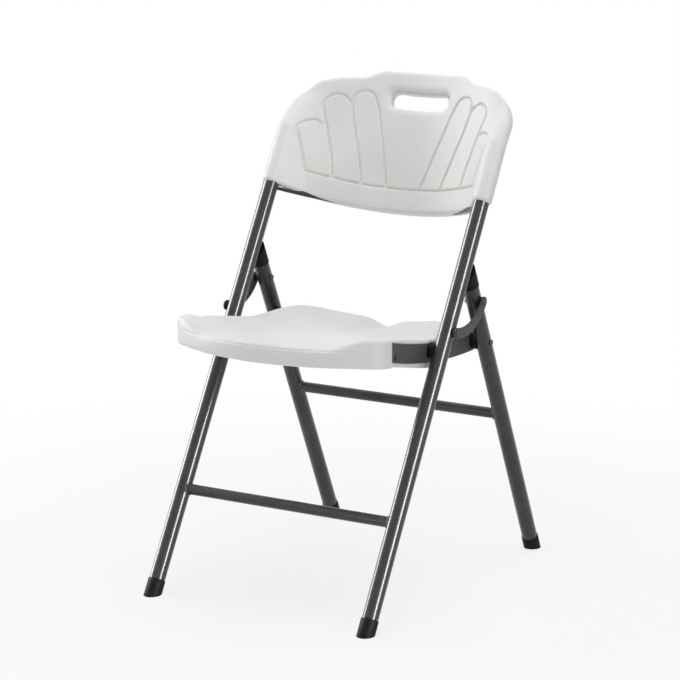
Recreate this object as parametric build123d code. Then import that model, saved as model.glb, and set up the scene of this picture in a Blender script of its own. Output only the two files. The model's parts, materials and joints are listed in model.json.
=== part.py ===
from build123d import *
import os
from math import cos, exp, hypot, radians, sin, sqrt

# Folding chair: steel tube frame with a moulded seat and back. The seat's front edge swings up to fold it,
# and the rear legs close against the front tubes on a seat rail and a curved link at each side.
# Millimetres. +X is the sitter's left, +Y runs from the front feet to the rear feet, +Z is up.

# Frame tubes
TUBE_SPACING = 430.0        # between the centre lines of the two side frames
TUBE_DIA = 28.0
TUBE_WALL = 1.2
FRONT_LEAN = 29.9           # degrees from upright, towards the rear
REAR_LEAN = 25.15           # degrees from upright, towards the front
LEG_SPREAD = 598.6          # between the front and rear leg axes on the floor
FRONT_TUBE_TOP = 880.0      # along the front tube, from the floor
WELD_GAP = 0.05             # between a coped bar end and the tube it is welded to

# Cross bars
BAR_DIA = 19.0
BAR_WALL = 1.2
FRONT_BAR_HEIGHT = 168.5
REAR_BAR_HEIGHT = 278.8
BACK_BAR_DIA = 13.0
BACK_BAR_END_UP = 770.0     # along the front tube, at the bar's ends
BACK_BAR_UP = 786.0         # the same, at its middle
BACK_BAR_BOW = 110.0        # how far its middle stands behind the front tubes
BACK_BAR_FIT = 0.4          # round the bar, in the back's lower edge

# Feet and caps
FOOT_WALL = 1.2
FOOT_LENGTH = 27.0
FOOT_SOLE = 5.0             # plastic under the lowest point of the tube
CAP_WALL = 1.0
CAP_HEIGHT = 529.5          # of the top caps' lower edge, above the floor
CAP_CROWN = 3.0             # plastic between the rear leg's top and the front tube
CAP_STOP_GAP = 0.35         # between an open rear leg's cap and the front tube
SLEEVE_FIT = 0.05           # between a tube and the plastic round it

# Pivots
SEAT_PIVOT_UP = 499.5       # along the front tube
LINK_PIVOT_UP = 535.5       # along the front tube
LEG_PIVOT_HEIGHT = 422.5    # on the rear leg's axis
LINK_TOP_HEIGHT = 502.1     # on the rear leg's axis
PIN_DIA = 8.0
PIN_FIT = 0.06              # radial, where a piece turns on a pin
HEAD_DIA = 11.0
HEAD_THICK = 2.0
SIDE_GAP = 0.3              # between faces that slide past each other
INNER_SPACER_DIA = 28.0
INNER_SPACER_THICK = 6.7
OUTER_SPACER_DIA = 16.0
OUTER_SPACER_THICK = 3.2
SPACER_SADDLE = 5.0         # how far a spacer reaches round its tube

# Seat rails and links
RAIL_THICK = 3.0
RAIL_WIDTH = 33.0
RAIL_FRONT_Y = 100.0        # behind the front feet
RAIL_FRONT_HEIGHT = 458.2
RAIL_MIDDLE_Y = 235.0
RAIL_MIDDLE_HEIGHT = 431.0
RAIL_FIT = 0.4              # round the rail, in the seat
LINK_WIDTH = 18.0
LINK_THICK = 3.0
LINK_BOW = 16.5

# Seat
SEAT_FRONT_Y = -4.0         # behind the front feet
SEAT_REAR_Y = 442.0
SEAT_FRONT_RADIUS = 342.0
WING_HALF = 206.0
WING_CORNER = 38.0
WING_DEPTH = 14.0           # straight length of the wing's side
WING_SLOPE = 15.0           # length of the wing's step down to the neck
NECK_INSET = 0.5            # of the seat's edge inside the rail's outer face
SEAT_WALL = 2.6             # of the hollow seat's top and base
SEAT_EDGE = 12.0            # solid border round the hollow
SEAT_REAR_HEIGHT = 421.0    # top, at the middle of the rear edge
SEAT_FRONT_RISE = 53.0      # top, from the rear edge to the front edge
SEAT_SIDE_HEIGHT = 446.0    # top of the side rims, at the rear
SEAT_SIDE_RISE = 38.0       # side rims, from there to the wings
WING_RISE = 14.0            # more of that at the front corners
WING_INNER = 118.0          # from the middle, where the wing starts to rise
WING_OUTER = 188.0          # from the middle, where it levels out
SEAT_RIM = 22.0             # height of the rear rim at its corners
SEAT_RIM_FALL = 9.0         # how much lower it is near the middle
SEAT_RIM_WIDTH = 55.0
SEAT_RIM_NOTCH = 26.0       # half width of the dip in the middle of the rim
SEAT_BASE_REAR = 394.0
SEAT_BASE_FRONT = 436.5
SEAT_ROUND = 7.0
SEAT_BASE_ROUND = 4.0
RAIL_SCREW_Y = 133.0
RAIL_SCREW_DROP = 8.0       # below the rail's middle line
SCREW_DIA = 4.5
SCREW_HEAD_DIA = 9.0
SCREW_HEAD = 2.4
RAIL_SCREW_LENGTH = 12.0

# Back
BACK_RADIUS = 275.0         # of the hollow front face, in plan
BACK_DEPTH = 92.5           # of its middle behind the front tubes, at BACK_DEPTH_UP
BACK_DEPTH_UP = 816.0
BACK_TILT = 0.142           # how fast that depth falls, going up
BACK_THICK = 22.0
BACK_WALL = 2.6             # of the hollow back's front and rear
BACK_HOLLOW_HALF = 160.0
BACK_ROUND = 5.0
BACK_LOWER_ROUND = 6.0
SLEEVE_WALL = 3.5
TAPER_UP = 960.0            # where the sleeves have run out into the panel's side edges
EDGE_SETBACK = 20.0         # of those edges behind the front tubes
EDGE_RADIUS = 11.0
BACK_LOWER_UP = 776.0       # lower edge in the middle
BACK_LOWER_DROP = 4.0       # lower edge at the sides, below the middle
BACK_SIDE_UP = 858.0        # where the upper corner starts
CORNER_UP = 957.0
CORNER_INSET = 22.0
SHOULDER_UP = 1004.0
SHOULDER_INSET = 96.0
HUMP_FOOT_UP = 1013.0
HUMP_FOOT_HALF = 107.0
HUMP_UP = 1034.0
HUMP_HALF = 86.0
HUMP_CROWN = 6.0
HUMP_BEND = 30.0            # rounding of the hump's corners
SLOT_WIDTH = 117.0
SLOT_HEIGHT = 30.0
SLOT_UP = 978.5
SLOT_CORNER = 11.0

# Sizes that follow from the ones above
tube_x = TUBE_SPACING / 2
tube_r = TUBE_DIA / 2
pin_r = PIN_DIA / 2
foot_r = tube_r + FOOT_WALL
front_lean = radians(FRONT_LEAN)
rear_lean = radians(REAR_LEAN)
front_reach = foot_r / cos(front_lean)
rear_reach = foot_r / cos(rear_lean)
front_foot_y = -(LEG_SPREAD + rear_reach - front_reach) / 2
rear_foot_y = front_foot_y + LEG_SPREAD
rail_out = tube_x - tube_r - INNER_SPACER_THICK - SIDE_GAP
rail_in = rail_out - RAIL_THICK
link_in = tube_x + tube_r + OUTER_SPACER_THICK + SIDE_GAP
link_out = link_in + LINK_THICK
sleeve_r = tube_r + SLEEVE_WALL
back_half = tube_x + sleeve_r

# A local frame on each pair of legs: X across, Y square to the tubes and rearward, Z up along the tubes
FRONT = Plane(origin=(0, front_foot_y, 0), x_dir=(1, 0, 0), z_dir=(0, sin(front_lean), cos(front_lean)))
REAR = Plane(origin=(0, rear_foot_y, 0), x_dir=(1, 0, 0), z_dir=(0, -sin(rear_lean), cos(rear_lean)))


def on_front(shape):
    return FRONT.location * shape


def on_rear(shape):
    return REAR.location * shape


def front_point(up):
    return FRONT.from_local_coords(Vector(0, 0, up))


def rear_point(height):
    return REAR.from_local_coords(Vector(0, 0, height / cos(rear_lean)))


SEAT_PIVOT = front_point(SEAT_PIVOT_UP)
LINK_PIVOT = front_point(LINK_PIVOT_UP)
LEG_PIVOT = rear_point(LEG_PIVOT_HEIGHT)
LINK_TOP = rear_point(LINK_TOP_HEIGHT)


def rod(radius, start, end, x=0.0, y=0.0):
    return Pos(x, y, start) * Cylinder(radius, end - start, align=(Align.CENTER, Align.CENTER, Align.MIN))


def cross_rod(radius, x_start, x_end, at):
    from_end = (Align.CENTER, Align.CENTER, Align.MIN)
    turned = Rot(0, 90, 0) * Cylinder(radius, x_end - x_start, align=from_end)
    return Pos(x_start, at.Y, at.Z) * turned


os.makedirs("parts", exist_ok=True)


def write(name, shape):
    export_step(shape, f"parts/{name}.step")


def write_pair(name, right_hand):
    write(f"{name}_right", right_hand)
    write(f"{name}_left", mirror(right_hand, about=Plane.YZ))


def floor_cut(shape):
    return shape - Pos(0, 0, -LEG_SPREAD / 2) * Box(LEG_SPREAD * 3, LEG_SPREAD * 3, LEG_SPREAD)


# Tubes of the two side frames
def tube_start(lean):
    return (FOOT_SOLE + tube_r * sin(lean)) / cos(lean)


def leg_tube(lean, top):
    start = tube_start(lean)
    return rod(tube_r, start, top, tube_x) - rod(tube_r - TUBE_WALL, start, top, tube_x)


def front_tube():
    tube = on_front(leg_tube(front_lean, FRONT_TUBE_TOP))
    tube -= cross_rod(pin_r, tube_x - TUBE_DIA, tube_x, SEAT_PIVOT)
    return tube - cross_rod(pin_r, tube_x, tube_x + TUBE_DIA, LINK_PIVOT)


def behind_front_tube(gap):
    size = LEG_SPREAD
    return on_front(Pos(tube_x, tube_r + gap + size / 2, LINK_PIVOT_UP) * Box(size, size, size))


def rear_leg():
    tube = on_rear(leg_tube(rear_lean, LEG_SPREAD * 2)) & behind_front_tube(CAP_STOP_GAP + CAP_CROWN)
    for pivot in (LEG_PIVOT, LINK_TOP):
        tube -= cross_rod(pin_r, tube_x - TUBE_DIA, tube_x + TUBE_DIA, pivot)
    return tube


def rear_leg_cap():
    start = CAP_HEIGHT / cos(rear_lean)
    sleeve = on_rear(rod(tube_r + CAP_WALL, start, LEG_SPREAD * 2, tube_x))
    sleeve &= behind_front_tube(CAP_STOP_GAP)
    leg = on_rear(rod(tube_r + SLEEVE_FIT, 0, LEG_SPREAD * 2, tube_x))
    leg &= behind_front_tube(CAP_STOP_GAP + CAP_CROWN)
    return sleeve - leg


def foot(place, lean):
    bore = rod(tube_r + SLEEVE_FIT, tube_start(lean), FOOT_LENGTH, tube_x)
    cup = place(rod(foot_r, -foot_r, FOOT_LENGTH, tube_x) - bore)
    return floor_cut(cup)


# Cross bars, coped to the tubes
def straight_bar(place, lean, height):
    at = Vector(0, 0, height / cos(lean))
    bar = cross_rod(BAR_DIA / 2, -tube_x, tube_x, at)
    bar -= cross_rod(BAR_DIA / 2 - BAR_WALL, -tube_x, tube_x, at)
    for side in (-1, 1):
        bar -= rod(tube_r + WELD_GAP, at.Z - BAR_DIA, at.Z + BAR_DIA, side * tube_x)
    return place(bar)


def back_bar_run(radius):
    ends = [(side * tube_x, 0, BACK_BAR_END_UP) for side in (-1, 1)]
    path = ThreePointArc(ends[0], (0, BACK_BAR_BOW, BACK_BAR_UP), ends[1])
    section = Plane(origin=path @ 0, z_dir=path % 0) * Circle(radius)
    return sweep(section, path=path)


def back_support_bar():
    bar = back_bar_run(BACK_BAR_DIA / 2) - back_bar_run(BACK_BAR_DIA / 2 - BAR_WALL)
    for side in (-1, 1):
        bar -= rod(tube_r + WELD_GAP, BACK_BAR_END_UP - TUBE_DIA, BACK_BAR_END_UP + TUBE_DIA, side * tube_x)
        outside = side * (tube_x + TUBE_DIA)
        bar -= Pos(outside, 0, BACK_BAR_END_UP) * Box(2 * TUBE_DIA, 2 * TUBE_DIA, 2 * TUBE_DIA)
    return on_front(bar)


# Pivot hardware
def spacer(pivot, place, outer):
    diameter = OUTER_SPACER_DIA if outer else INNER_SPACER_DIA
    if outer:
        start, end = tube_x + tube_r - SPACER_SADDLE, link_in - SIDE_GAP
    else:
        start, end = rail_out + SIDE_GAP, tube_x - tube_r + SPACER_SADDLE
    ring = cross_rod(diameter / 2, start, end, pivot) - cross_rod(pin_r, start, end, pivot)
    return ring - place(rod(tube_r + WELD_GAP, 0, FRONT_TUBE_TOP, tube_x))


def head(pivot, seat_x, outward):
    if outward > 0:
        button = cross_rod(HEAD_DIA / 2, seat_x, seat_x + HEAD_THICK, pivot)
    else:
        button = cross_rod(HEAD_DIA / 2, seat_x - HEAD_THICK, seat_x, pivot)
    tip = seat_x + outward * HEAD_THICK
    rim = button.edges().filter_by(GeomType.CIRCLE).filter_by(lambda e: abs(e.center().X - tip) < 0.01)
    return fillet(rim, HEAD_THICK * 0.6)


def rivet(pivot, inner_end, outer_end, inner_head, outer_head):
    pin = cross_rod(pin_r, inner_end, outer_end, pivot)
    if inner_head:
        pin += head(pivot, inner_end, -1)
    if outer_head:
        pin += head(pivot, outer_end, 1)
    return pin


# Seat rails and links, drawn in the side plane as (y, z)
def side_strip(start, middle, end, width, x_start, thick):
    line = ThreePointArc(start, middle, end)
    return Pos(x_start, 0, 0) * extrude(Plane.YZ * SlotArc(line, width), thick)


def rail_middle_line():
    front = (front_foot_y + RAIL_FRONT_Y, RAIL_FRONT_HEIGHT)
    middle = (front_foot_y + RAIL_MIDDLE_Y, RAIL_MIDDLE_HEIGHT)
    return front, middle, (LEG_PIVOT.Y, LEG_PIVOT.Z)


def rail_height(y):
    line = ThreePointArc(*rail_middle_line())
    post = Line((front_foot_y + y, 0), (front_foot_y + y, LEG_SPREAD))
    return line.intersect(post).vertices()[0].Y


def rail_screw_point():
    return Vector(0, front_foot_y + RAIL_SCREW_Y, rail_height(RAIL_SCREW_Y) - RAIL_SCREW_DROP)


def seat_rail():
    rail = side_strip(*rail_middle_line(), RAIL_WIDTH, rail_in, RAIL_THICK)
    for pivot in (SEAT_PIVOT, LEG_PIVOT):
        rail -= cross_rod(pin_r + PIN_FIT, rail_in - 1, rail_out + 1, pivot)
    return rail - cross_rod(SCREW_DIA / 2, rail_in - 1, rail_out + 1, rail_screw_point())


def rail_screw():
    shank = cross_rod(SCREW_DIA / 2, rail_out - RAIL_SCREW_LENGTH, rail_out, rail_screw_point())
    return shank + cross_rod(SCREW_HEAD_DIA / 2, rail_out, rail_out + SCREW_HEAD, rail_screw_point())


def fold_link():
    start = Vector(LINK_PIVOT.Y, LINK_PIVOT.Z)
    end = Vector(LINK_TOP.Y, LINK_TOP.Z)
    along = (end - start).normalized()
    elbow = (start + end) * 0.5 + Vector(along.Y, -along.X) * LINK_BOW
    link = side_strip(start, elbow, end, LINK_WIDTH, link_in, LINK_THICK)
    return link - cross_rod(pin_r + PIN_FIT, link_in - 1, link_out + 1, LINK_PIVOT)


# Seat: a plan outline between a dished top and a sloping base
seat_length = SEAT_REAR_Y - SEAT_FRONT_Y
seat_neck = rail_out - NECK_INSET


def smooth(value):
    share = min(max(value, 0.0), 1.0)
    return share * share * (3 - 2 * share)


def seat_share(y):
    return min(max((y - SEAT_FRONT_Y) / seat_length, 0.0), 1.0)


def seat_top(x, y):
    share = seat_share(y)
    middle = SEAT_REAR_HEIGHT + SEAT_FRONT_RISE * (1 - share) ** 1.6
    side = SEAT_SIDE_HEIGHT + SEAT_SIDE_RISE * (1 - smooth((share - 0.15) / 0.6))
    side += WING_RISE * (1 - smooth((share - 0.08) / 0.12))
    half = seat_neck + (WING_HALF - seat_neck) * (1 - smooth((share - 0.16) / 0.16))
    wing = smooth((abs(x) - WING_INNER) / (WING_OUTER - WING_INNER))
    bowl = (abs(x) / half) ** (4.5 - 2.7 * share)
    dish = wing + (bowl - wing) * smooth(share / 0.35)
    edge = seat_neck - hypot(x, max(y - SEAT_REAR_Y + seat_neck, 0))
    crest = SEAT_RIM * smooth((share - 0.61) / 0.24) - SEAT_RIM_FALL * smooth((share - 0.85) / 0.15)
    ridge = crest * exp(-(edge / SEAT_RIM_WIDTH) ** 2) * (1 - exp(-(x / SEAT_RIM_NOTCH) ** 2))
    return middle + (side - middle) * dish + ridge


def seat_base(y):
    return SEAT_BASE_FRONT - (SEAT_BASE_FRONT - SEAT_BASE_REAR) * smooth((seat_share(y) - 0.08) / 0.67)


def seat_outline(inset):
    neck = seat_neck - inset
    wing = WING_HALF - inset
    corner_x = WING_HALF - WING_CORNER
    arc_y = SEAT_FRONT_Y + SEAT_FRONT_RADIUS
    corner_y = arc_y - sqrt((SEAT_FRONT_RADIUS - WING_CORNER) ** 2 - corner_x ** 2)
    corner_middle = Vector(corner_x, corner_y)
    front_way = Vector(corner_x, corner_y - arc_y).normalized()
    turn_way = (front_way + Vector(1, 0)).normalized()
    meet = Vector(0, arc_y) + front_way * (SEAT_FRONT_RADIUS - inset)
    turn = corner_middle + turn_way * (WING_CORNER - inset)
    step = corner_y + WING_DEPTH
    side = [Vector(wing, corner_y), Vector(wing, step), Vector(neck, step + WING_SLOPE)]
    side.append(Vector(neck, SEAT_REAR_Y - seat_neck))

    def flip(points):
        return [Vector(-point.X, point.Y) for point in reversed(points)]

    corner = [meet, turn, side[0]]
    front = ThreePointArc(flip(corner)[-1], Vector(0, SEAT_FRONT_Y + inset), meet)
    rear = ThreePointArc(side[-1], Vector(0, SEAT_REAR_Y - inset), flip(side)[0])
    lines = [front, ThreePointArc(*corner), Polyline(*side), rear]
    lines += [Polyline(*flip(side)), ThreePointArc(*flip(corner))]
    return Pos(0, front_foot_y, 0) * make_face([edge for line in lines for edge in line.edges()])


def seat_surface(height):
    columns = [WING_HALF * 1.1 * k / 16 for k in range(-16, 17)]
    rows = [SEAT_FRONT_Y - 20 + (seat_length + 40) * k / 30 for k in range(31)]
    points = [[Vector(x, front_foot_y + y, height(x, y)) for y in rows] for x in columns]
    return Face.make_surface_from_array_of_points(points)


def seat_block(inset, wall):
    block = Pos(0, 0, SEAT_BASE_REAR - SEAT_FRONT_RISE) * extrude(seat_outline(inset), 4 * SEAT_FRONT_RISE)
    block = split(block, bisect_by=seat_surface(lambda x, y: seat_top(x, y) - wall), keep=Keep.BOTTOM)
    return split(block, bisect_by=seat_surface(lambda x, y: seat_base(y) + wall), keep=Keep.TOP)


def edges_at(shape, height):
    return [edge for edge in shape.edges() if abs((edge @ 0.5).Z - height(edge @ 0.5)) < 1.5]


def seat_shell():
    shell = seat_block(0, 0)
    shell = fillet(edges_at(shell, lambda at: seat_top(at.X, at.Y - front_foot_y)), SEAT_ROUND)
    shell = fillet(edges_at(shell, lambda at: seat_base(at.Y - front_foot_y)), SEAT_BASE_ROUND)
    shell -= seat_block(SEAT_EDGE, SEAT_WALL)
    cuts = [side_strip(*rail_middle_line(), RAIL_WIDTH + 2 * RAIL_FIT, rail_in, RAIL_THICK + SIDE_GAP),
            cross_rod(HEAD_DIA / 2 + SIDE_GAP, rail_in - HEAD_THICK - 2 * SIDE_GAP, rail_in, SEAT_PIVOT),
            cross_rod(SCREW_DIA / 2, rail_out - RAIL_SCREW_LENGTH, rail_in, rail_screw_point())]
    for cut in cuts:
        shell -= cut
        shell -= mirror(cut, about=Plane.YZ)
    return shell


# Back: a hollow-fronted panel between two sleeves over the front tubes
def drop(radius, x):
    return radius - sqrt(radius * radius - x * x)


def back_section(up, setback, radius):
    middle = BACK_DEPTH - BACK_TILT * (up - BACK_DEPTH_UP)
    front_x = tube_x - 45.0
    rear_x = tube_x - 35.0
    rear_radius = BACK_RADIUS + BACK_THICK
    turns = [radians(turn) for turn in (-125, -10, 75)]
    sleeve = [(tube_x + radius * cos(turn), setback + radius * sin(turn)) for turn in turns]
    front_end = (front_x, middle - drop(BACK_RADIUS, front_x))
    rear_end = (rear_x, middle + BACK_THICK - drop(rear_radius, rear_x))

    def flip(point):
        return (-point[0], point[1])

    edges = [ThreePointArc(flip(front_end), (0, middle), front_end),
             Line(front_end, sleeve[0]),
             ThreePointArc(*sleeve),
             Line(sleeve[2], rear_end),
             ThreePointArc(rear_end, (0, middle + BACK_THICK), flip(rear_end)),
             Line(flip(rear_end), flip(sleeve[2])),
             ThreePointArc(flip(sleeve[2]), flip(sleeve[1]), flip(sleeve[0])),
             Line(flip(sleeve[0]), flip(front_end))]
    return Pos(0, 0, up) * make_face(edges)


def back_outline():
    side = back_half + 1
    low = BACK_LOWER_UP - BACK_LOWER_DROP
    right = [(side, low), (side, BACK_SIDE_UP)]
    shoulder = (back_half - SHOULDER_INSET, SHOULDER_UP)
    corner = [(side, BACK_SIDE_UP), (back_half - CORNER_INSET, CORNER_UP), shoulder]
    hump = [shoulder, (HUMP_FOOT_HALF, HUMP_FOOT_UP), (HUMP_HALF, HUMP_UP - HUMP_CROWN)]

    def flip(points):
        return [(-x, z) for x, z in reversed(points)]

    edges = [Line(*right), ThreePointArc(*corner), Polyline(*hump),
             ThreePointArc(hump[2], (0, HUMP_UP), (-HUMP_HALF, HUMP_UP - HUMP_CROWN)),
             Polyline(*flip(hump)), ThreePointArc(*flip(corner)), Line(*flip(right)),
             ThreePointArc((-side, low), (0, BACK_LOWER_UP), (side, low))]
    outline = make_face([edge for line in edges for edge in line.edges()])
    hump_corners = [corner for corner in outline.vertices() if corner.Y > SHOULDER_UP + 1]
    return Plane.XZ * fillet(hump_corners, HUMP_BEND)


def back_hollow():
    front_x = BACK_HOLLOW_HALF

    def section(up):
        middle = BACK_DEPTH - BACK_TILT * (up - BACK_DEPTH_UP)
        rear_radius = BACK_RADIUS + BACK_THICK
        front = middle + BACK_WALL
        rear = middle + BACK_THICK - BACK_WALL
        front_y = front - drop(BACK_RADIUS, front_x)
        rear_y = rear - drop(rear_radius, front_x)
        edges = [ThreePointArc((-front_x, front_y), (0, front), (front_x, front_y)),
                 Line((front_x, front_y), (front_x, rear_y)),
                 ThreePointArc((front_x, rear_y), (0, rear), (-front_x, rear_y)),
                 Line((-front_x, rear_y), (-front_x, front_y))]
        return Pos(0, 0, up) * make_face(edges)

    low = BACK_BAR_UP + BACK_BAR_DIA / 2 + BACK_BAR_FIT + BACK_WALL
    return loft([section(low), section(SLOT_UP - SLOT_HEIGHT / 2 - 2 * BACK_WALL)], ruled=True)


def back_shell():
    sections = [back_section(up, 0, sleeve_r) for up in (BACK_LOWER_UP - 10, FRONT_TUBE_TOP + SLEEVE_WALL)]
    sections += [back_section(up, EDGE_SETBACK, EDGE_RADIUS) for up in (TAPER_UP, HUMP_UP + 10)]
    panel = loft(sections, ruled=True)
    panel &= extrude(back_outline(), BACK_RADIUS, both=True)
    rounded_up = BACK_LOWER_UP + BACK_LOWER_ROUND
    low = [edge for edge in panel.edges() if max((edge @ 0).Z, (edge @ 1).Z) < rounded_up]
    panel = fillet(low, BACK_LOWER_ROUND)
    above = [edge for edge in panel.edges() if (edge @ 0.5).Z > SHOULDER_UP]
    panel = fillet([edge for edge in above if edge.geom_type != GeomType.LINE], BACK_ROUND)
    slot = Plane.XZ * Pos(0, SLOT_UP) * RectangleRounded(SLOT_WIDTH, SLOT_HEIGHT, SLOT_CORNER)
    panel -= extrude(slot, BACK_RADIUS, both=True)
    panel -= back_hollow()
    panel -= back_bar_run(BACK_BAR_DIA / 2 + BACK_BAR_FIT)
    for side in (-1, 1):
        panel -= rod(tube_r + SLEEVE_FIT, 0, FRONT_TUBE_TOP + 1, side * tube_x)
    return panel


for name, shape in (("front_tube", front_tube()), ("rear_leg", rear_leg()), ("rear_leg_cap", rear_leg_cap()),
                    ("front_foot", foot(on_front, front_lean)), ("rear_foot", foot(on_rear, rear_lean)),
                    ("seat_rail", seat_rail()), ("seat_rail_screw", rail_screw()), ("fold_link", fold_link()),
                    ("seat_pivot_spacer", spacer(SEAT_PIVOT, on_front, False)),
                    ("leg_pivot_spacer", spacer(LEG_PIVOT, on_rear, False)),
                    ("link_front_spacer", spacer(LINK_PIVOT, on_front, True)),
                    ("link_rear_spacer", spacer(LINK_TOP, on_rear, True)),
                    ("seat_pivot_rivet", rivet(SEAT_PIVOT, rail_in - SIDE_GAP, tube_x, True, False)),
                    ("leg_pivot_rivet", rivet(LEG_PIVOT, rail_in - SIDE_GAP, tube_x + tube_r, True, True)),
                    ("link_front_rivet", rivet(LINK_PIVOT, tube_x, link_out + SIDE_GAP, False, True)),
                    ("link_rear_rivet", rivet(LINK_TOP, tube_x - tube_r, link_in - SIDE_GAP, True, False)),
                    ("link_rear_head", head(LINK_TOP, link_out, 1))):
    write_pair(name, shape)
write("front_cross_bar", straight_bar(on_front, front_lean, FRONT_BAR_HEIGHT))
write("rear_cross_bar", straight_bar(on_rear, rear_lean, REAR_BAR_HEIGHT))
write("back_support_bar", back_support_bar())
write("seat_shell", seat_shell())
write("back_shell", on_front(back_shell()))
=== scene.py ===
import json
import math
from contextlib import contextmanager

import bmesh
import bpy
import numpy as np
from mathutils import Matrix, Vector


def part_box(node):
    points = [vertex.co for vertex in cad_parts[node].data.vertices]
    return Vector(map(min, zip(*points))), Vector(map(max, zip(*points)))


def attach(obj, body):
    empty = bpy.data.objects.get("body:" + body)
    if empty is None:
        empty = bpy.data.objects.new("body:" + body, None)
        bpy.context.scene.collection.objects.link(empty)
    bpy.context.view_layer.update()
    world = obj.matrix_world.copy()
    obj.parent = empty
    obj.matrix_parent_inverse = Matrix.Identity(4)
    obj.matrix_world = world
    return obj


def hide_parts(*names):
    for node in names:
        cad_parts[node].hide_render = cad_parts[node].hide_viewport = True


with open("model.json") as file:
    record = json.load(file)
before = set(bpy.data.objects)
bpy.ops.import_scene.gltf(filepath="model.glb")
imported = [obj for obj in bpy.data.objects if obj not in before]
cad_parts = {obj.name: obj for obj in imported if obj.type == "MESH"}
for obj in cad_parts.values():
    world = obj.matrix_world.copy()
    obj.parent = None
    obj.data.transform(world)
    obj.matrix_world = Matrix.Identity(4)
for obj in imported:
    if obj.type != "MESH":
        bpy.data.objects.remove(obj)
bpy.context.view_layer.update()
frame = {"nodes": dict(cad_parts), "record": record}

MM = 0.001

# The chair's own measures, as the solids have them
TUBE_X = 215 * MM               # from the chair's middle to a tube's axis
TUBE_R = 14 * MM
BAR_R = 9.5 * MM
FOOT_R = 15.2 * MM
FRONT_LEAN = math.radians(29.9)
REAR_LEAN = math.radians(25.15)
FRONT_FOOT_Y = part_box("front_foot_right")[0][1] + FOOT_R / math.cos(FRONT_LEAN)
UP_FRONT = Vector((0, math.sin(FRONT_LEAN), math.cos(FRONT_LEAN)))
UP_REAR = Vector((0, -math.sin(REAR_LEAN), math.cos(REAR_LEAN)))

# To the rear, square to the front tubes
OUT_FRONT = Vector((0, math.cos(FRONT_LEAN), -math.sin(FRONT_LEAN)))

SLOTS = {part["node"]: part["material_slot"] for part in frame["record"]["subparts"]}
BODY_OF = {node: body for body, nodes in frame["record"]["behaviour"]["bodies"].items()
           for node in nodes}


# Finishes
class Reading:
    """A number that changes over a surface. Arithmetic on it adds Math nodes."""

    def __init__(self, finish, socket):
        self.finish = finish
        self.socket = socket

    def _with(self, operation, other):
        return self.finish.node("ShaderNodeMath", {"operation": operation}, {0: self, 1: other})

    def __add__(self, other):
        return self._with("ADD", other)

    __radd__ = __add__

    def __sub__(self, other):
        return self._with("SUBTRACT", other)

    def __mul__(self, other):
        return self._with("MULTIPLY", other)


class Finish:
    """A procedural material: one Principled shader, with nodes that feed it."""

    def __init__(self, name, **plain):
        self.material = bpy.data.materials.new(name)
        self.material.use_nodes = True
        self.nodes = self.material.node_tree.nodes
        self.links = self.material.node_tree.links
        self.shader = self.nodes["Principled BSDF"]
        for socket, value in plain.items():
            self.shader.inputs[socket.replace("_", " ")].default_value = value

    def node(self, kind, settings=None, inputs=None, output=0):
        made = self.nodes.new(kind)
        for key, value in (settings or {}).items():
            setattr(made, key, value)
        for key, value in (inputs or {}).items():
            if isinstance(value, Reading):
                self.links.new(value.socket, made.inputs[key])
            else:
                made.inputs[key].default_value = value
        return Reading(self, made.outputs[output])

    def feed(self, **readings):
        for socket, reading in readings.items():
            self.links.new(reading.socket, self.shader.inputs[socket.replace("_", " ")])

    def place(self):
        return self.node("ShaderNodeTexCoord", output="Object")

    def noise(self, size, detail, rough=0.5):
        return self.node("ShaderNodeTexNoise", output="Fac",
                         inputs={"Vector": self.place(), "Scale": 1 / size, "Detail": detail,
                                 "Roughness": rough})

    def cells(self, size):
        return self.node("ShaderNodeTexVoronoi", {"feature": "SMOOTH_F1"},
                         {"Vector": self.place(), "Scale": 1 / size}, "Distance")

    def ramp(self, reading, *stops):
        colours = self.node("ShaderNodeValToRGB", inputs={"Fac": reading})
        elements = colours.socket.node.color_ramp.elements
        while len(elements) < len(stops):
            elements.new(1)
        for element, (place, colour) in zip(elements, stops):
            element.position = place
            element.color = (*colour, 1)
        return colours

    def bump(self, height, distance, strength):
        return self.node("ShaderNodeBump", output="Normal",
                         inputs={"Strength": strength, "Distance": distance, "Height": height})


# Colours, as linear red, green and blue
WHITE, WHITE_PALE = (0.765, 0.76, 0.745), (0.81, 0.805, 0.79)
PAINT, PAINT_LIGHT, PAINT_FLECK = ((0.012, 0.0122, 0.013), (0.024, 0.0245, 0.026),
                                   (0.075, 0.077, 0.08))
SATIN, SATIN_LIGHT, SATIN_FLECK = ((0.033, 0.0336, 0.0354), (0.057, 0.058, 0.0615),
                                   (0.135, 0.137, 0.14))
BLACK, BLACK_WORN = (0.005, 0.005, 0.0055), (0.014, 0.014, 0.0145)
PLATING, PLATING_LIGHT = (0.03, 0.03, 0.031), (0.07, 0.07, 0.072)


def moulded_plastic():
    finish = Finish("moulded_plastic", IOR=1.48, Specular_IOR_Level=0.2)
    cloud = finish.noise(90 * MM, 3)
    grain = finish.noise(0.9 * MM, 2)
    pebble = finish.cells(1.6 * MM)
    shade = cloud + (grain - 0.5) * 0.25
    finish.feed(Base_Color=finish.ramp(shade, (0.3, WHITE), (0.7, WHITE_PALE)),
                Roughness=0.44 + cloud * 0.08 + grain * 0.08,
                Normal=finish.bump(pebble * 0.5 + grain * 0.5, 0.10 * MM, 0.3))
    return finish.material


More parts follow.
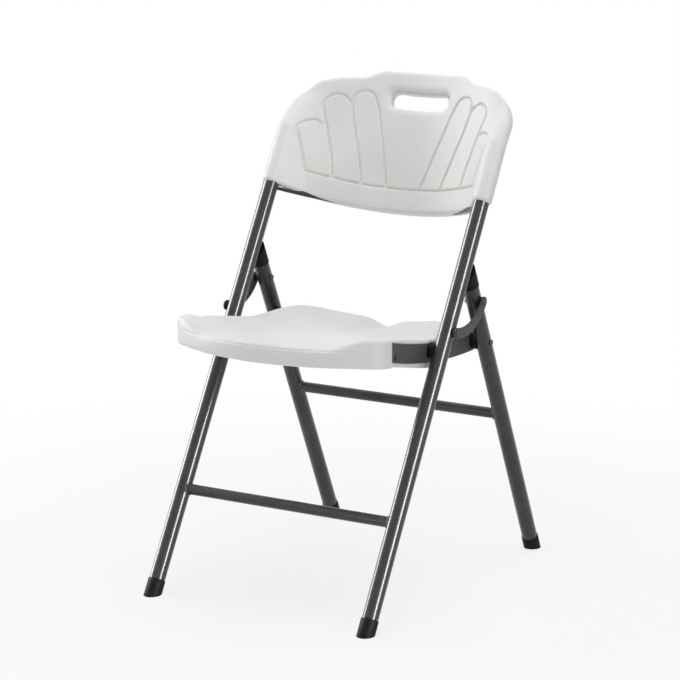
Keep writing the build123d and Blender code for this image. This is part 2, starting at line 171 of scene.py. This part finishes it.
def speckled_paint():
    finish = Finish("speckled_paint", IOR=1.45, Specular_IOR_Level=0.15,
                    Coat_Roughness=0.13, Coat_IOR=1.4)
    dimple = finish.cells(2.2 * MM)
    fleck = finish.noise(0.8 * MM, 2, rough=0.7)
    drift = finish.noise(60 * MM, 3)
    shade = fleck * 0.7 + dimple * 0.2 + drift * 0.25
    finish.feed(Base_Color=finish.ramp(shade, (0.35, PAINT), (0.55, PAINT_LIGHT),
                                       (0.8, PAINT_FLECK)),
                Roughness=0.34 + fleck * 0.16,
                Coat_Weight=0.75 + drift * 0.2,
                Normal=finish.bump(dimple * 0.6 + fleck * 0.4, 0.06 * MM, 0.25))
    return finish.material


def satin_paint():
    finish = Finish("satin_paint", IOR=1.45, Specular_IOR_Level=0.3)
    pebble = finish.cells(1.4 * MM)
    fleck = finish.noise(0.9 * MM, 3, rough=0.7)
    drift = finish.noise(40 * MM, 3)
    shade = fleck * 0.75 + pebble * 0.15 + drift * 0.2
    finish.feed(Base_Color=finish.ramp(shade, (0.35, SATIN), (0.55, SATIN_LIGHT),
                                       (0.8, SATIN_FLECK)),
                Roughness=0.48 + fleck * 0.14,
                Normal=finish.bump(pebble * 0.5 + fleck * 0.5, 0.10 * MM, 0.35))
    return finish.material


def black_plastic():
    finish = Finish("black_plastic", IOR=1.47, Specular_IOR_Level=0.1)
    grain = finish.noise(0.7 * MM, 2)
    wear = finish.noise(14 * MM, 4)
    shade = wear + (grain - 0.5) * 0.3
    finish.feed(Base_Color=finish.ramp(shade, (0.35, BLACK), (0.75, BLACK_WORN)),
                Roughness=0.42 + wear * 0.15 + grain * 0.1,
                Normal=finish.bump(grain, 0.08 * MM, 0.4))
    return finish.material


def dark_plating():
    finish = Finish("dark_plating", Specular_IOR_Level=0.3)
    streak = finish.noise(1.2 * MM, 3)
    cloud = finish.noise(9 * MM, 3)
    finish.feed(Base_Color=finish.ramp(cloud, (0.3, PLATING), (0.7, PLATING_LIGHT)),
                Roughness=0.34 + streak * 0.16,
                Metallic=0.35 + cloud * 0.2,
                Normal=finish.bump(streak, 0.05 * MM, 0.3))
    return finish.material


# By material slot, and the flatter paint of the rails and links, which share the frame's slot
FINISHES = {"moulding": moulded_plastic(), "frame": speckled_paint(),
            "black_plastic": black_plastic(), "fixings": dark_plating()}
FLAT_METAL = satin_paint()


def finish_piece(piece, finish):
    piece.data.materials.clear()
    piece.data.materials.append(finish)


def add_piece(name, mesh, body, slot, *replaced):
    piece = bpy.data.objects.new(name, mesh)
    bpy.context.scene.collection.objects.link(piece)
    finish_piece(piece, FINISHES[slot])
    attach(piece, body)
    if replaced:
        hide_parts(*replaced)
    return piece


# Work on meshes
SEAM = 0.002 * MM               # vertices this close are one
VOXEL = 2.0 * MM
WEIGHT_LEVELS = 10


@contextmanager
def editing(mesh):
    """The mesh as a bmesh, which is written back at the end."""
    work = bmesh.new()
    work.from_mesh(mesh)
    yield work
    work.to_mesh(mesh)
    work.free()


def hold(mesh):
    holder = bpy.data.objects.new("holder", mesh)
    bpy.context.scene.collection.objects.link(holder)
    return holder


def let_go(holder):
    """The mesh as the holder's modifiers leave it. The holder goes."""
    depsgraph = bpy.context.evaluated_depsgraph_get()
    shaped = bpy.data.meshes.new_from_object(holder.evaluated_get(depsgraph))
    bpy.data.objects.remove(holder)
    return shaped


def through_modifier(mesh, kind, **settings):
    holder = hold(mesh)
    modifier = holder.modifiers.new(kind, kind)
    for key, value in settings.items():
        setattr(modifier, key, value)
    return let_go(holder)


def soften(mesh, weights, passes):
    """The mesh with its edges relaxed, each vertex by its weight."""
    holder = hold(mesh)
    holder.vertex_groups.clear()
    group = holder.vertex_groups.new(name="soft")
    for level in range(1, WEIGHT_LEVELS + 1):
        picked = np.nonzero(np.round(weights * WEIGHT_LEVELS) == level)[0]
        if len(picked):
            group.add(picked.tolist(), level / WEIGHT_LEVELS, "REPLACE")
    relax = holder.modifiers.new("relax", "SMOOTH")
    relax.factor = 0.5
    relax.iterations = passes
    relax.vertex_group = group.name
    return let_go(holder)


def island_round(start):
    """All the vertices that edges join to one."""
    island = {start}
    open_ends = [start]
    while open_ends:
        corner = open_ends.pop()
        for edge in corner.link_edges:
            other = edge.other_vert(corner)
            if other not in island:
                island.add(other)
                open_ends.append(other)
    return island


def width_of(corners):
    places = [corner.co.x for corner in corners]
    return max(places) - min(places)


def outer_skin(node):
    """A node's mesh with its seams closed and any sealed hollow inside it left out."""
    mesh = frame["nodes"][node].data.copy()
    with editing(mesh) as work:
        bmesh.ops.remove_doubles(work, verts=work.verts, dist=SEAM)
        islands = []
        unseen = set(work.verts)
        while unseen:
            islands.append(island_round(next(iter(unseen))))
            unseen -= islands[-1]
        islands.sort(key=width_of)
        inner = [corner for island in islands[:-1] for corner in island]
        bmesh.ops.delete(work, geom=inner, context="VERTS")
        bmesh.ops.recalc_face_normals(work, faces=work.faces)
        for face in work.faces:
            face.smooth = True
    return mesh


def remeshed(node):
    """An even, fine copy of a node's outer skin."""
    return through_modifier(outer_skin(node), "REMESH", mode="VOXEL", voxel_size=VOXEL)


def finer(mesh, near, cuts):
    """The mesh with its edges cut where both ends are near something small."""
    with editing(mesh) as work:
        work.verts.ensure_lookup_table()
        edges = [edge for edge in work.edges
                 if near[edge.verts[0].index] and near[edge.verts[1].index]]
        bmesh.ops.subdivide_edges(work, edges=edges, cuts=cuts, use_grid_fill=True)
    return mesh


def joined(*meshes):
    work = bmesh.new()
    for mesh in meshes:
        work.from_mesh(mesh)
    whole = bpy.data.meshes.new("joined")
    work.to_mesh(whole)
    work.free()
    return whole


def smooth_shade(mesh):
    mesh.polygons.foreach_set("use_smooth", np.ones(len(mesh.polygons), bool))
    mesh.update()
    return mesh


def sharp_shade(mesh, degrees):
    """Smooth shading, except over edges that turn by more than the given angle."""
    smooth_shade(mesh)
    mesh.set_sharp_from_angle(angle=math.radians(degrees))
    return mesh


def mesh_points(mesh):
    points = np.empty(len(mesh.vertices) * 3)
    mesh.vertices.foreach_get("co", points)
    return points.reshape(-1, 3)


def mesh_normals(mesh):
    normals = np.empty(len(mesh.vertices) * 3)
    mesh.vertices.foreach_get("normal", normals)
    return normals.reshape(-1, 3)


def move(mesh, offsets):
    mesh.vertices.foreach_set("co", (mesh_points(mesh) + offsets).ravel())
    mesh.update()


def ramped(value, start, end):
    """0 at start, 1 at end, straight between them and level beyond."""
    return np.clip((value - start) / (end - start), 0, 1)


def eased(value, start, end):
    """As ramped, but with a smooth turn at both ends."""
    share = ramped(value, start, end)
    return share * share * (3 - 2 * share)


def rounded(points, steps=8):
    """A smooth line through the points."""
    points = np.array(points, float)
    padded = np.vstack([2 * points[0] - points[1], points, 2 * points[-1] - points[-2]])
    share = np.linspace(0, 1, steps, endpoint=False)[:, None]
    line = []
    for a, b, c, d in zip(padded, padded[1:], padded[2:], padded[3:]):
        line.append(0.5 * (2 * b + (c - a) * share + (2 * a - 5 * b + 4 * c - d) * share ** 2
                           + (3 * b - a - 3 * c + d) * share ** 3))
    return np.vstack([*line, points[-1:]])


def distance_to(runs, across, up):
    """How far each point is from the nearest line. The lines are given for one half."""
    nearest = np.full(len(across), np.inf)
    at = np.stack([np.abs(across), up], 1)
    for run in runs:
        for start, end in zip(run, run[1:]):
            way = end - start
            share = np.clip(((at - start) @ way) / (way @ way), 0, 1)
            off = np.linalg.norm(at - start - share[:, None] * way, axis=1)
            nearest = np.minimum(nearest, off)
    return nearest


# The back, in millimetres across and up the front tubes. A pair that ends in _SOFT, _FADE or
# _FACING is where a form starts and where it is full.
PETALS = [
    [(34, 817), (38, 829), (45, 854), (52, 878), (59, 902), (66, 924), (72, 944), (79, 963),
     (86, 977), (95, 984), (107, 983), (116, 977), (121, 967), (121, 952), (117, 934), (111, 912),
     (103, 890), (96, 868), (88, 842), (81, 816)],
    [(121, 952), (128, 961), (135, 966), (144, 967), (154, 963), (163, 954), (167, 943),
     (164, 931), (158, 913), (151, 893), (145, 872), (139, 852), (131, 816)],
    [(163, 906), (169, 909), (177, 907), (187, 900), (192, 890), (192, 879), (187, 866),
     (181, 848), (175, 827), (172, 814)],
    [(0, 817), (34, 817)],
    [(40, 817), (81, 816)],
    [(87, 816), (131, 816)],
    [(137, 816), (172, 814)],
]
PETAL_RUNS = [rounded(line) for line in PETALS]
BACK_RIM = [np.array([(233, 860), (233, 883), (229, 910), (222, 934), (211, 957), (195, 976),
                      (175, 990), (155, 999), (136, 1004), (107, 1013), (86, 1028), (45, 1032.4),
                      (0, 1034)], float)]
BACK_PASSES = 8                 # of relaxing, over the whole back
BACK_EDGE_PASSES = 45           # the same, at the rim and round the slot
RIM_SOFT = (26.0, 12.0)         # distance from the rim
SLOT_SOFT = (18.0, 10.0)        # distance from the slot's edge
FRONT_FACING = (0.25, 0.5)      # how squarely a face looks forward
REAR_FACING = (-0.25, 0.25)     # how squarely a face looks to the rear
GROOVE_HALF = 2.1
GROOVE_DEPTH = 3.8
GROOVE_REACH = 2.6 * GROOVE_HALF
GROOVE_CUTS = 3
SLOT_UP = 978.5
SLOT_HALF = (58.5, 15.0)
SLOT_CORNER = 11.0
SCOOP_DEPTH = 9.0
SCOOP_REACH = 14.0
SCOOP_UNDER = 0.25              # the scoop's share below the slot
SCOOP_FADE = (SLOT_UP - SLOT_HALF[1] * 3 / 7, SLOT_UP + SLOT_HALF[1])
LOWER_EDGE_UP = 801.0           # below it the back keeps the solid's own faces
LOWER_EDGE_TURN = 35            # degrees, over which an edge there stays sharp

# Where the back turns into its sides the solid has a crease, blurred over TURN_SPREAD_NOW, and the
# moulding a curve over TURN_SPREAD. Each face has the crease's place across, and its slope's change
# at the two levels of TURN_UP.
TURN_SPREAD = 16.0
TURN_SPREAD_NOW = 3.2
TURN_UP = (883.5, 960.0)
TURN_FADE = (LOWER_EDGE_UP + 5, LOWER_EDGE_UP + 45)
FRONT_TURN = (170.0, -0.75, 0.87)
REAR_TURN = (180.0, -0.31, 0.84)


def back_places(mesh):
    """Each vertex's place across and up, and how squarely it faces forward."""
    points = mesh_points(mesh)
    up = (points - np.array((0, FRONT_FOOT_Y, 0))) @ np.array(UP_FRONT)
    facing = ramped(-(mesh_normals(mesh) @ np.array(OUT_FRONT)), *FRONT_FACING)
    return points[:, 0] / MM, up / MM, facing


def slot_distance(across, up):
    corner_x = np.abs(across) - SLOT_HALF[0] + SLOT_CORNER
    corner_up = np.abs(up - SLOT_UP) - SLOT_HALF[1] + SLOT_CORNER
    return np.hypot(np.maximum(corner_x, 0), np.maximum(corner_up, 0)) - SLOT_CORNER


def blunted(off, spread):
    """The distance from a crease, with the crease itself blurred."""
    bell = spread * math.sqrt(2 / math.pi) * np.exp(-(off / spread) ** 2 / 2)
    return bell + off * np.array([math.erf(value) for value in off / spread / math.sqrt(2)])


def eased_turn(across, up, place, low_turn, high_turn):
    """How far back a face moves so that its turn into the sides is a curve, not a crease."""
    off = np.abs(across) - place
    turn = np.interp(up, TURN_UP, (low_turn, high_turn))
    shift = blunted(off, TURN_SPREAD) - blunted(off, TURN_SPREAD_NOW)
    return turn / 2 * shift * eased(up, *TURN_FADE)


def cut_across(mesh, up, side):
    """The part of the back above or below a level, by the side's sign."""
    level = Vector((0, FRONT_FOOT_Y, 0)) + UP_FRONT * (up * MM)
    with editing(mesh) as work:
        bmesh.ops.bisect_plane(work, geom=[*work.verts, *work.edges, *work.faces],
                               plane_co=level, plane_no=UP_FRONT,
                               clear_inner=side > 0, clear_outer=side < 0)
    return mesh


def make_back():
    mesh = remeshed("back_shell")
    mesh = soften(mesh, np.ones(len(mesh.vertices)), BACK_PASSES)
    across, up, _ = back_places(mesh)
    at_rim = eased(distance_to(BACK_RIM, across, up), *RIM_SOFT)
    at_slot = eased(np.abs(slot_distance(across, up)), *SLOT_SOFT)
    mesh = soften(mesh, np.maximum(at_rim, at_slot), BACK_EDGE_PASSES)

    across, up, _ = back_places(mesh)
    rearward = ramped(mesh_normals(mesh) @ np.array(OUT_FRONT), *REAR_FACING)
    shift = (eased_turn(across, up, *FRONT_TURN) * (1 - rearward)
             + eased_turn(across, up, *REAR_TURN) * rearward)
    move(mesh, (shift * MM)[:, None] * np.array(OUT_FRONT))

    across, up, facing = back_places(mesh)
    near_groove = distance_to(PETAL_RUNS, across, up) < GROOVE_REACH
    mesh = finer(mesh, near_groove & (facing > 0), GROOVE_CUTS)
    across, up, facing = back_places(mesh)
    off_groove = distance_to(PETAL_RUNS, across, up) / GROOVE_HALF
    groove = GROOVE_DEPTH * facing * np.exp(-off_groove ** 2)
    over_slot = SCOOP_UNDER + (1 - SCOOP_UNDER) * eased(up, *SCOOP_FADE)
    scoop = (SCOOP_DEPTH * facing * over_slot
             * ramped(slot_distance(across, up), SCOOP_REACH, 0) ** 2)
    move(mesh, (scoop * MM)[:, None] * np.array(OUT_FRONT)
         - mesh_normals(mesh) * (groove * MM)[:, None])

    above = cut_across(smooth_shade(mesh), LOWER_EDGE_UP, 1)
    below = cut_across(outer_skin("back_shell"), LOWER_EDGE_UP, -1)
    mesh = joined(above, sharp_shade(below, LOWER_EDGE_TURN))
    add_piece("moulded_back", mesh, "front_frame", "moulding", "back_shell")


# The seat, in millimetres across, behind the front feet and up from the floor. The pairs are as
# for the back.
NECK_SOFT = (182.0, 176.0)      # across, so that the faces along the rails stay as they are
WING_SOFT = (86.0, 78.0)        # behind
SEAT_PASSES = 14
LIP_SOFT = (70.0, 40.0)         # behind
LIP_UP_SOFT = (445.0, 457.0)
LIP_PASSES = 150
PARTING_UP = 465.0              # of the line where the mould's halves met
PARTING_FADE = (178.0, 158.0)   # across
PARTING_FACING = (0.2, 0.6)     # how squarely a face looks forward
PARTING_DEPTH = 0.9
PARTING_WIDTH = 1.2
PARTING_REACH = 4.0
PARTING_CUTS = 2


def seat_places(mesh):
    """Each vertex's place across, behind and up."""
    points = mesh_points(mesh)
    return points[:, 0] / MM, (points[:, 1] - FRONT_FOOT_Y) / MM, points[:, 2] / MM


def parting_places(mesh):
    """How far each vertex is from the parting line, and the line's share there."""
    across, _, up = seat_places(mesh)
    ahead = ramped(-mesh_normals(mesh)[:, 1], *PARTING_FACING)
    return np.abs(up - PARTING_UP), ahead * eased(np.abs(across), *PARTING_FADE)


def make_seat():
    mesh = remeshed("seat_shell")
    across, behind, _ = seat_places(mesh)
    clear_of_rails = eased(np.abs(across), *NECK_SOFT)
    in_wings = eased(behind, *WING_SOFT)
    mesh = soften(mesh, np.maximum(clear_of_rails, in_wings), SEAT_PASSES)
    _, behind, up = seat_places(mesh)
    mesh = soften(mesh, eased(behind, *LIP_SOFT) * eased(up, *LIP_UP_SOFT), LIP_PASSES)

    off_line, share = parting_places(mesh)
    mesh = finer(mesh, (off_line < PARTING_REACH) & (share > 0), PARTING_CUTS)
    off_line, share = parting_places(mesh)
    crease = PARTING_DEPTH * share * np.exp(-(off_line / PARTING_WIDTH) ** 2)
    move(mesh, -mesh_normals(mesh) * (crease * MM)[:, None])
    add_piece("moulded_seat", smooth_shade(mesh), "seat", "moulding", "seat_shell")


# Sheet metal and small plastic pieces, with eased edges
EASED_WORDS = ("rail", "link", "spacer", "foot", "cap")
PLAIN_WORDS = ("rivet", "screw", "head")
EASED_WIDTH = 0.5 * MM
EASED_STEPS = 3
EASED_TURN = math.radians(40)


def has_eased_edges(node):
    return (any(word in node for word in EASED_WORDS)
            and not any(word in node for word in PLAIN_WORDS))


def ease_edges(node):
    mesh = through_modifier(outer_skin(node), "BEVEL", width=EASED_WIDTH, segments=EASED_STEPS,
                            limit_method="ANGLE", angle_limit=EASED_TURN, harden_normals=True)
    piece = add_piece(f"{node}_eased", mesh, BODY_OF[node], SLOTS[node], node)
    if node.startswith(("seat_rail", "fold_link")):
        finish_piece(piece, FLAT_METAL)


# Weld beads where a bar meets a tube
BEAD_R = 2.1 * MM
BEAD_STEPS = 60
BEAD_SIDES = 10
BEAD_RIPPLES = ((0.12, 17), (0.08, 5))      # height as a share of the radius, and count


def middle_of(node):
    low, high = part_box(node)
    return (Vector(low) + Vector(high)) / 2


def weld_bead(name, body, bar_middle, up, side):
    """A rippled bead along the line where a bar runs into a tube that leans along up."""
    out = Vector((1, 0, 0)).cross(up)
    inward = Vector((-side, 0, 0))
    corners = []
    faces = []
    for step in range(BEAD_STEPS):
        turn = 2 * math.pi * step / BEAD_STEPS
        radial = out * math.cos(turn) + up * math.sin(turn)
        reach = TUBE_X - math.sqrt(TUBE_R ** 2 - (BAR_R * math.cos(turn)) ** 2)
        centre = Vector((side * reach, 0, 0)) + bar_middle + radial * BAR_R
        ripple = sum(height * math.sin(turn * count) for height, count in BEAD_RIPPLES)
        size = BEAD_R * (1 + ripple)
        ring = step * BEAD_SIDES
        next_ring = (step + 1) % BEAD_STEPS * BEAD_SIDES
        for k in range(BEAD_SIDES):
            roll = 2 * math.pi * k / BEAD_SIDES
            beside = (k + 1) % BEAD_SIDES
            corners.append(centre + (radial * math.cos(roll) + inward * math.sin(roll)) * size)
            faces.append((ring + k, next_ring + k, next_ring + beside, ring + beside))
    mesh = bpy.data.meshes.new(name)
    mesh.from_pydata(corners, [], faces)
    with editing(mesh) as work:
        bmesh.ops.recalc_face_normals(work, faces=work.faces)
    add_piece(name, smooth_shade(mesh), body, "frame")


make_back()
make_seat()
for node, slot in SLOTS.items():
    if node in ("back_shell", "seat_shell"):
        continue
    if has_eased_edges(node):
        ease_edges(node)
    else:
        finish_piece(frame["nodes"][node], FINISHES[slot])
for side, word in ((-1, "left"), (1, "right")):
    weld_bead(f"front_bar_weld_{word}", "front_frame", middle_of("front_cross_bar"), UP_FRONT, side)
    weld_bead(f"rear_bar_weld_{word}", "rear_legs", middle_of("rear_cross_bar"), UP_REAR, side)

# Floor, light and camera, in metres and watts. Within SHADOW_NEAR of the chair's middle the camera
# sees some of the floor's shadow, and beyond SHADOW_FAR plain white.
FLOOR_HALF = 12
PAPER = 0.86
PAPER_GRAIN = 0.01
SHADOW_NEAR = 0.55
SHADOW_FAR = 1.5
WHITE_NEAR = 0.78               # the share of plain white near the chair
AMBIENT = 0.3
CAMERA_AT = Vector((2.33733, FRONT_FOOT_Y - 3.56467, 1.38914))
CAMERA_TO = Vector((0.00847, FRONT_FOOT_Y + 0.25741, 0.42897))
CAMERA_LENS = 139.42
CAMERA_SENSOR = 36

# Name, place, aim, size, power, and whether it shows in gloss alone
LIGHTS = (
    ("overhead", (0.2, 0.1, 3.2), (0, 0.05, 0.4), (2.4, 2.4), 51, False),
    ("left_side", (-3.0, -0.3, 1.7), (0, 0.1, 0.65), (1.2, 1.6), 28, False),
    ("right_side", (3.0, -0.8, 0.9), (0, 0.1, 0.5), (1.2, 1.4), 12, False),
    ("low_front", (-0.3, -2.4, 0.4), (0, 0, 0.5), (1.6, 0.6), 7, False),
    ("right_strip", (3.4, -0.75, 1.2), (0, 0, 0.6), (0.95, 2.6), 250, True),
    ("left_strip", (-3.3, -0.5, 1.2), (0, 0, 0.6), (1.6, 2.8), 165, True),
)


def seen_directly(tree):
    """1 for rays from the camera, or from a mirror or glass, and 0 for the light that falls."""
    path = tree.nodes.new("ShaderNodeLightPath")
    seen = path.outputs["Is Camera Ray"]
    for kind in ("Is Glossy Ray", "Is Transmission Ray"):
        either = tree.nodes.new("ShaderNodeMath")
        either.operation = "MAXIMUM"
        tree.links.new(seen, either.inputs[0])
        tree.links.new(path.outputs[kind], either.inputs[1])
        seen = either.outputs[0]
    return seen


def make_floor():
    mesh = bpy.data.meshes.new("floor")
    mesh.from_pydata([(-FLOOR_HALF, -FLOOR_HALF, 0), (FLOOR_HALF, -FLOOR_HALF, 0),
                      (FLOOR_HALF, FLOOR_HALF, 0), (-FLOOR_HALF, FLOOR_HALF, 0)],
                     [], [(0, 1, 2, 3)])
    floor = bpy.data.objects.new("floor", mesh)
    bpy.context.scene.collection.objects.link(floor)
    finish = Finish("paper_floor", Roughness=0.9, Specular_IOR_Level=0.1)
    fibre = finish.noise(4 * MM, 3)
    finish.feed(Base_Color=finish.ramp(fibre, (0.3, (PAPER - PAPER_GRAIN,) * 3),
                                       (0.7, (PAPER + PAPER_GRAIN,) * 3)))
    reach = finish.node("ShaderNodeVectorMath", {"operation": "LENGTH"}, {0: finish.place()},
                        "Value")
    clear = finish.node("ShaderNodeMapRange", {"interpolation_type": "SMOOTHSTEP"},
                        {"Value": reach, "From Min": SHADOW_NEAR, "From Max": SHADOW_FAR,
                         "To Min": WHITE_NEAR, "To Max": 1.0})
    share = clear * Reading(finish, seen_directly(finish.material.node_tree))
    white = finish.nodes.new("ShaderNodeEmission")
    blend = finish.nodes.new("ShaderNodeMixShader")
    finish.links.new(share.socket, blend.inputs["Fac"])
    finish.links.new(finish.shader.outputs["BSDF"], blend.inputs[1])
    finish.links.new(white.outputs["Emission"], blend.inputs[2])
    finish.links.new(blend.outputs["Shader"], finish.nodes["Material Output"].inputs["Surface"])
    floor.data.materials.append(finish.material)


def add_light(name, place, aim, size, power, gloss_only):
    lamp = bpy.data.lights.new(name, "AREA")
    lamp.shape = "RECTANGLE"
    lamp.size, lamp.size_y = size
    lamp.energy = power
    light = bpy.data.objects.new(name, lamp)
    light.location = place
    light.rotation_euler = (Vector(aim) - Vector(place)).to_track_quat("-Z", "Y").to_euler()
    light.visible_diffuse = not gloss_only
    bpy.context.scene.collection.objects.link(light)


def make_studio():
    world = bpy.data.worlds.new("studio")
    bpy.context.scene.world = world
    world.use_nodes = True
    tree = world.node_tree
    sky = tree.nodes["Background"]
    sky.inputs["Color"].default_value = (1, 1, 1, 1)
    level = tree.nodes.new("ShaderNodeMapRange")
    level.inputs["To Min"].default_value = AMBIENT
    level.inputs["To Max"].default_value = 1.0
    tree.links.new(seen_directly(tree), level.inputs["Value"])
    tree.links.new(level.outputs["Result"], sky.inputs["Strength"])
    for light in LIGHTS:
        add_light(*light)


def make_camera():
    lens = bpy.data.cameras.new("camera")
    lens.sensor_width = CAMERA_SENSOR
    lens.lens = CAMERA_LENS
    camera = bpy.data.objects.new("camera", lens)
    camera.location = CAMERA_AT
    camera.rotation_euler = (CAMERA_TO - CAMERA_AT).to_track_quat("-Z", "Y").to_euler()
    bpy.context.scene.collection.objects.link(camera)
    bpy.context.scene.camera = camera


make_floor()
make_studio()
make_camera()
bpy.context.scene.view_settings.view_transform = "Standard"
